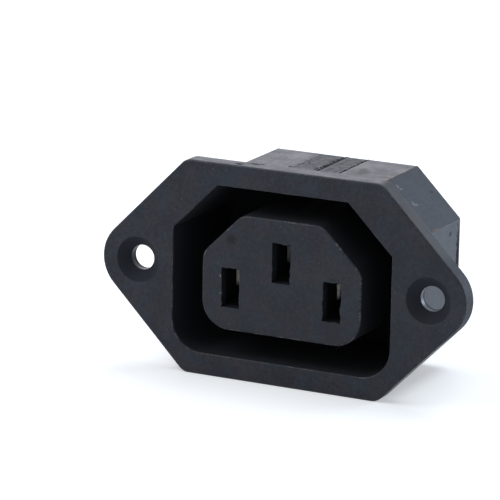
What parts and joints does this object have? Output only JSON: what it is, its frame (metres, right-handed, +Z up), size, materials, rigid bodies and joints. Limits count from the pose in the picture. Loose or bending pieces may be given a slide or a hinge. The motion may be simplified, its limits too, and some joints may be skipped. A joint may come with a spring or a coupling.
{
  "type": "c13 power connector",
  "caption": "Panel-mounted power outlet: hexagonal flange with countersunk screw ears, deep shroud, slotted island over sprung brass contacts, and flat rear terminals.",
  "frame": {"origin": "midway between the two screw holes, on the flange's back face, which lies against the panel", "axes": "+X to the right as seen from the front, +Y from the front to the back, the way the plug goes in, +Z up"},
  "size_m": [0.05, 0.0272, 0.0276],
  "materials": {
    "housing_plastic": "black moulded plastic, matte",
    "cover_plastic": "black moulded plastic, matte",
    "contact_brass": "stamped and folded strip, satin"
  },
  "bodies": {
    "root": {"housing": "housing_plastic", "rear_cover": "cover_plastic", "line_contact": "contact_brass", "neutral_contact": "contact_brass", "earth_contact": "contact_brass"}
  },
  "joints": []
}
